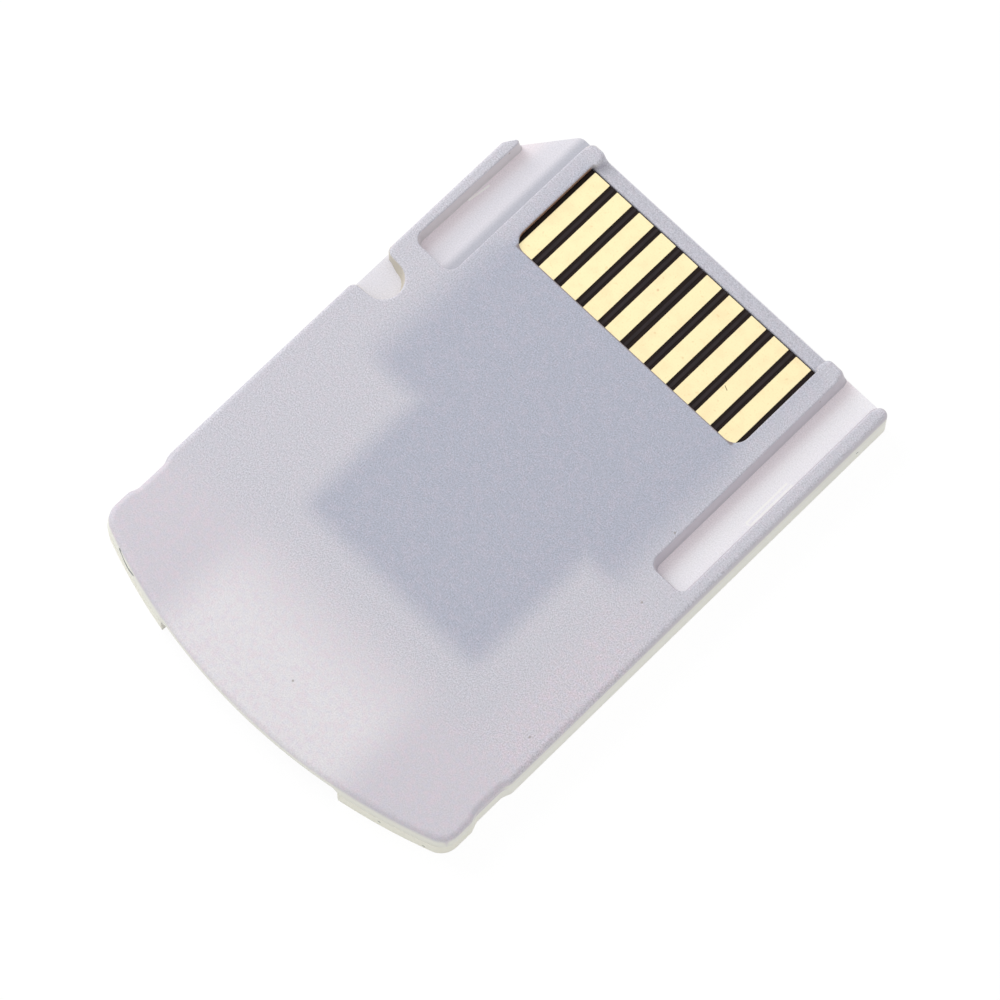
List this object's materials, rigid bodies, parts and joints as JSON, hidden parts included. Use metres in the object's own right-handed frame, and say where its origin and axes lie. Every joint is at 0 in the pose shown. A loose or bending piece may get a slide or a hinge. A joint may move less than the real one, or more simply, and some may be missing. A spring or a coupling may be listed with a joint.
{
  "type": "memory card adapter",
  "caption": "Flat translucent white adapter shaped like a small game card, with a row of gold edge contacts in a window and a slot at its curved end for a smaller memory card.",
  "frame": {"origin": "middle of the card's outline on the front face, on which it lies", "axes": "+X across the card to the right seen from the contact side, +Y along the card towards the contact end, +Z out of the contact side"},
  "size_m": [0.022, 0.0306, 0.002],
  "materials": {
    "back_shell_plastic": "milky translucent white, fine spark texture",
    "front_shell_plastic": "milky translucent white, slightly warm, smooth",
    "board_black": "black solder mask on glass-fibre board",
    "pad_gold": "thin gold plating over copper, fine grained",
    "housing_plastic": "black heat-resistant moulding",
    "shield_steel": "bright rolled sheet",
    "spring_gold": "gold-flashed spring bronze",
    "capacitor_ceramic": "tan ceramic with tinned ends"
  },
  "bodies": {
    "root": {"back_shell": "back_shell_plastic", "front_shell": "front_shell_plastic", "circuit_board": "board_black", "contact_pad_1": "pad_gold", "contact_pad_2": "pad_gold", "contact_pad_3": "pad_gold", "contact_pad_4": "pad_gold", "contact_pad_5": "pad_gold", "contact_pad_6": "pad_gold", "contact_pad_7": "pad_gold", "contact_pad_8": "pad_gold", "contact_pad_9": "pad_gold", "contact_pad_10": "pad_gold", "socket_housing": "housing_plastic", "socket_shield": "shield_steel", "spring_contact_1": "spring_gold", "spring_contact_2": "spring_gold", "spring_contact_3": "spring_gold", "spring_contact_4": "spring_gold", "spring_contact_5": "spring_gold", "spring_contact_6": "spring_gold", "spring_contact_7": "spring_gold", "spring_contact_8": "spring_gold", "supply_capacitor": "capacitor_ceramic"}
  },
  "joints": []
}
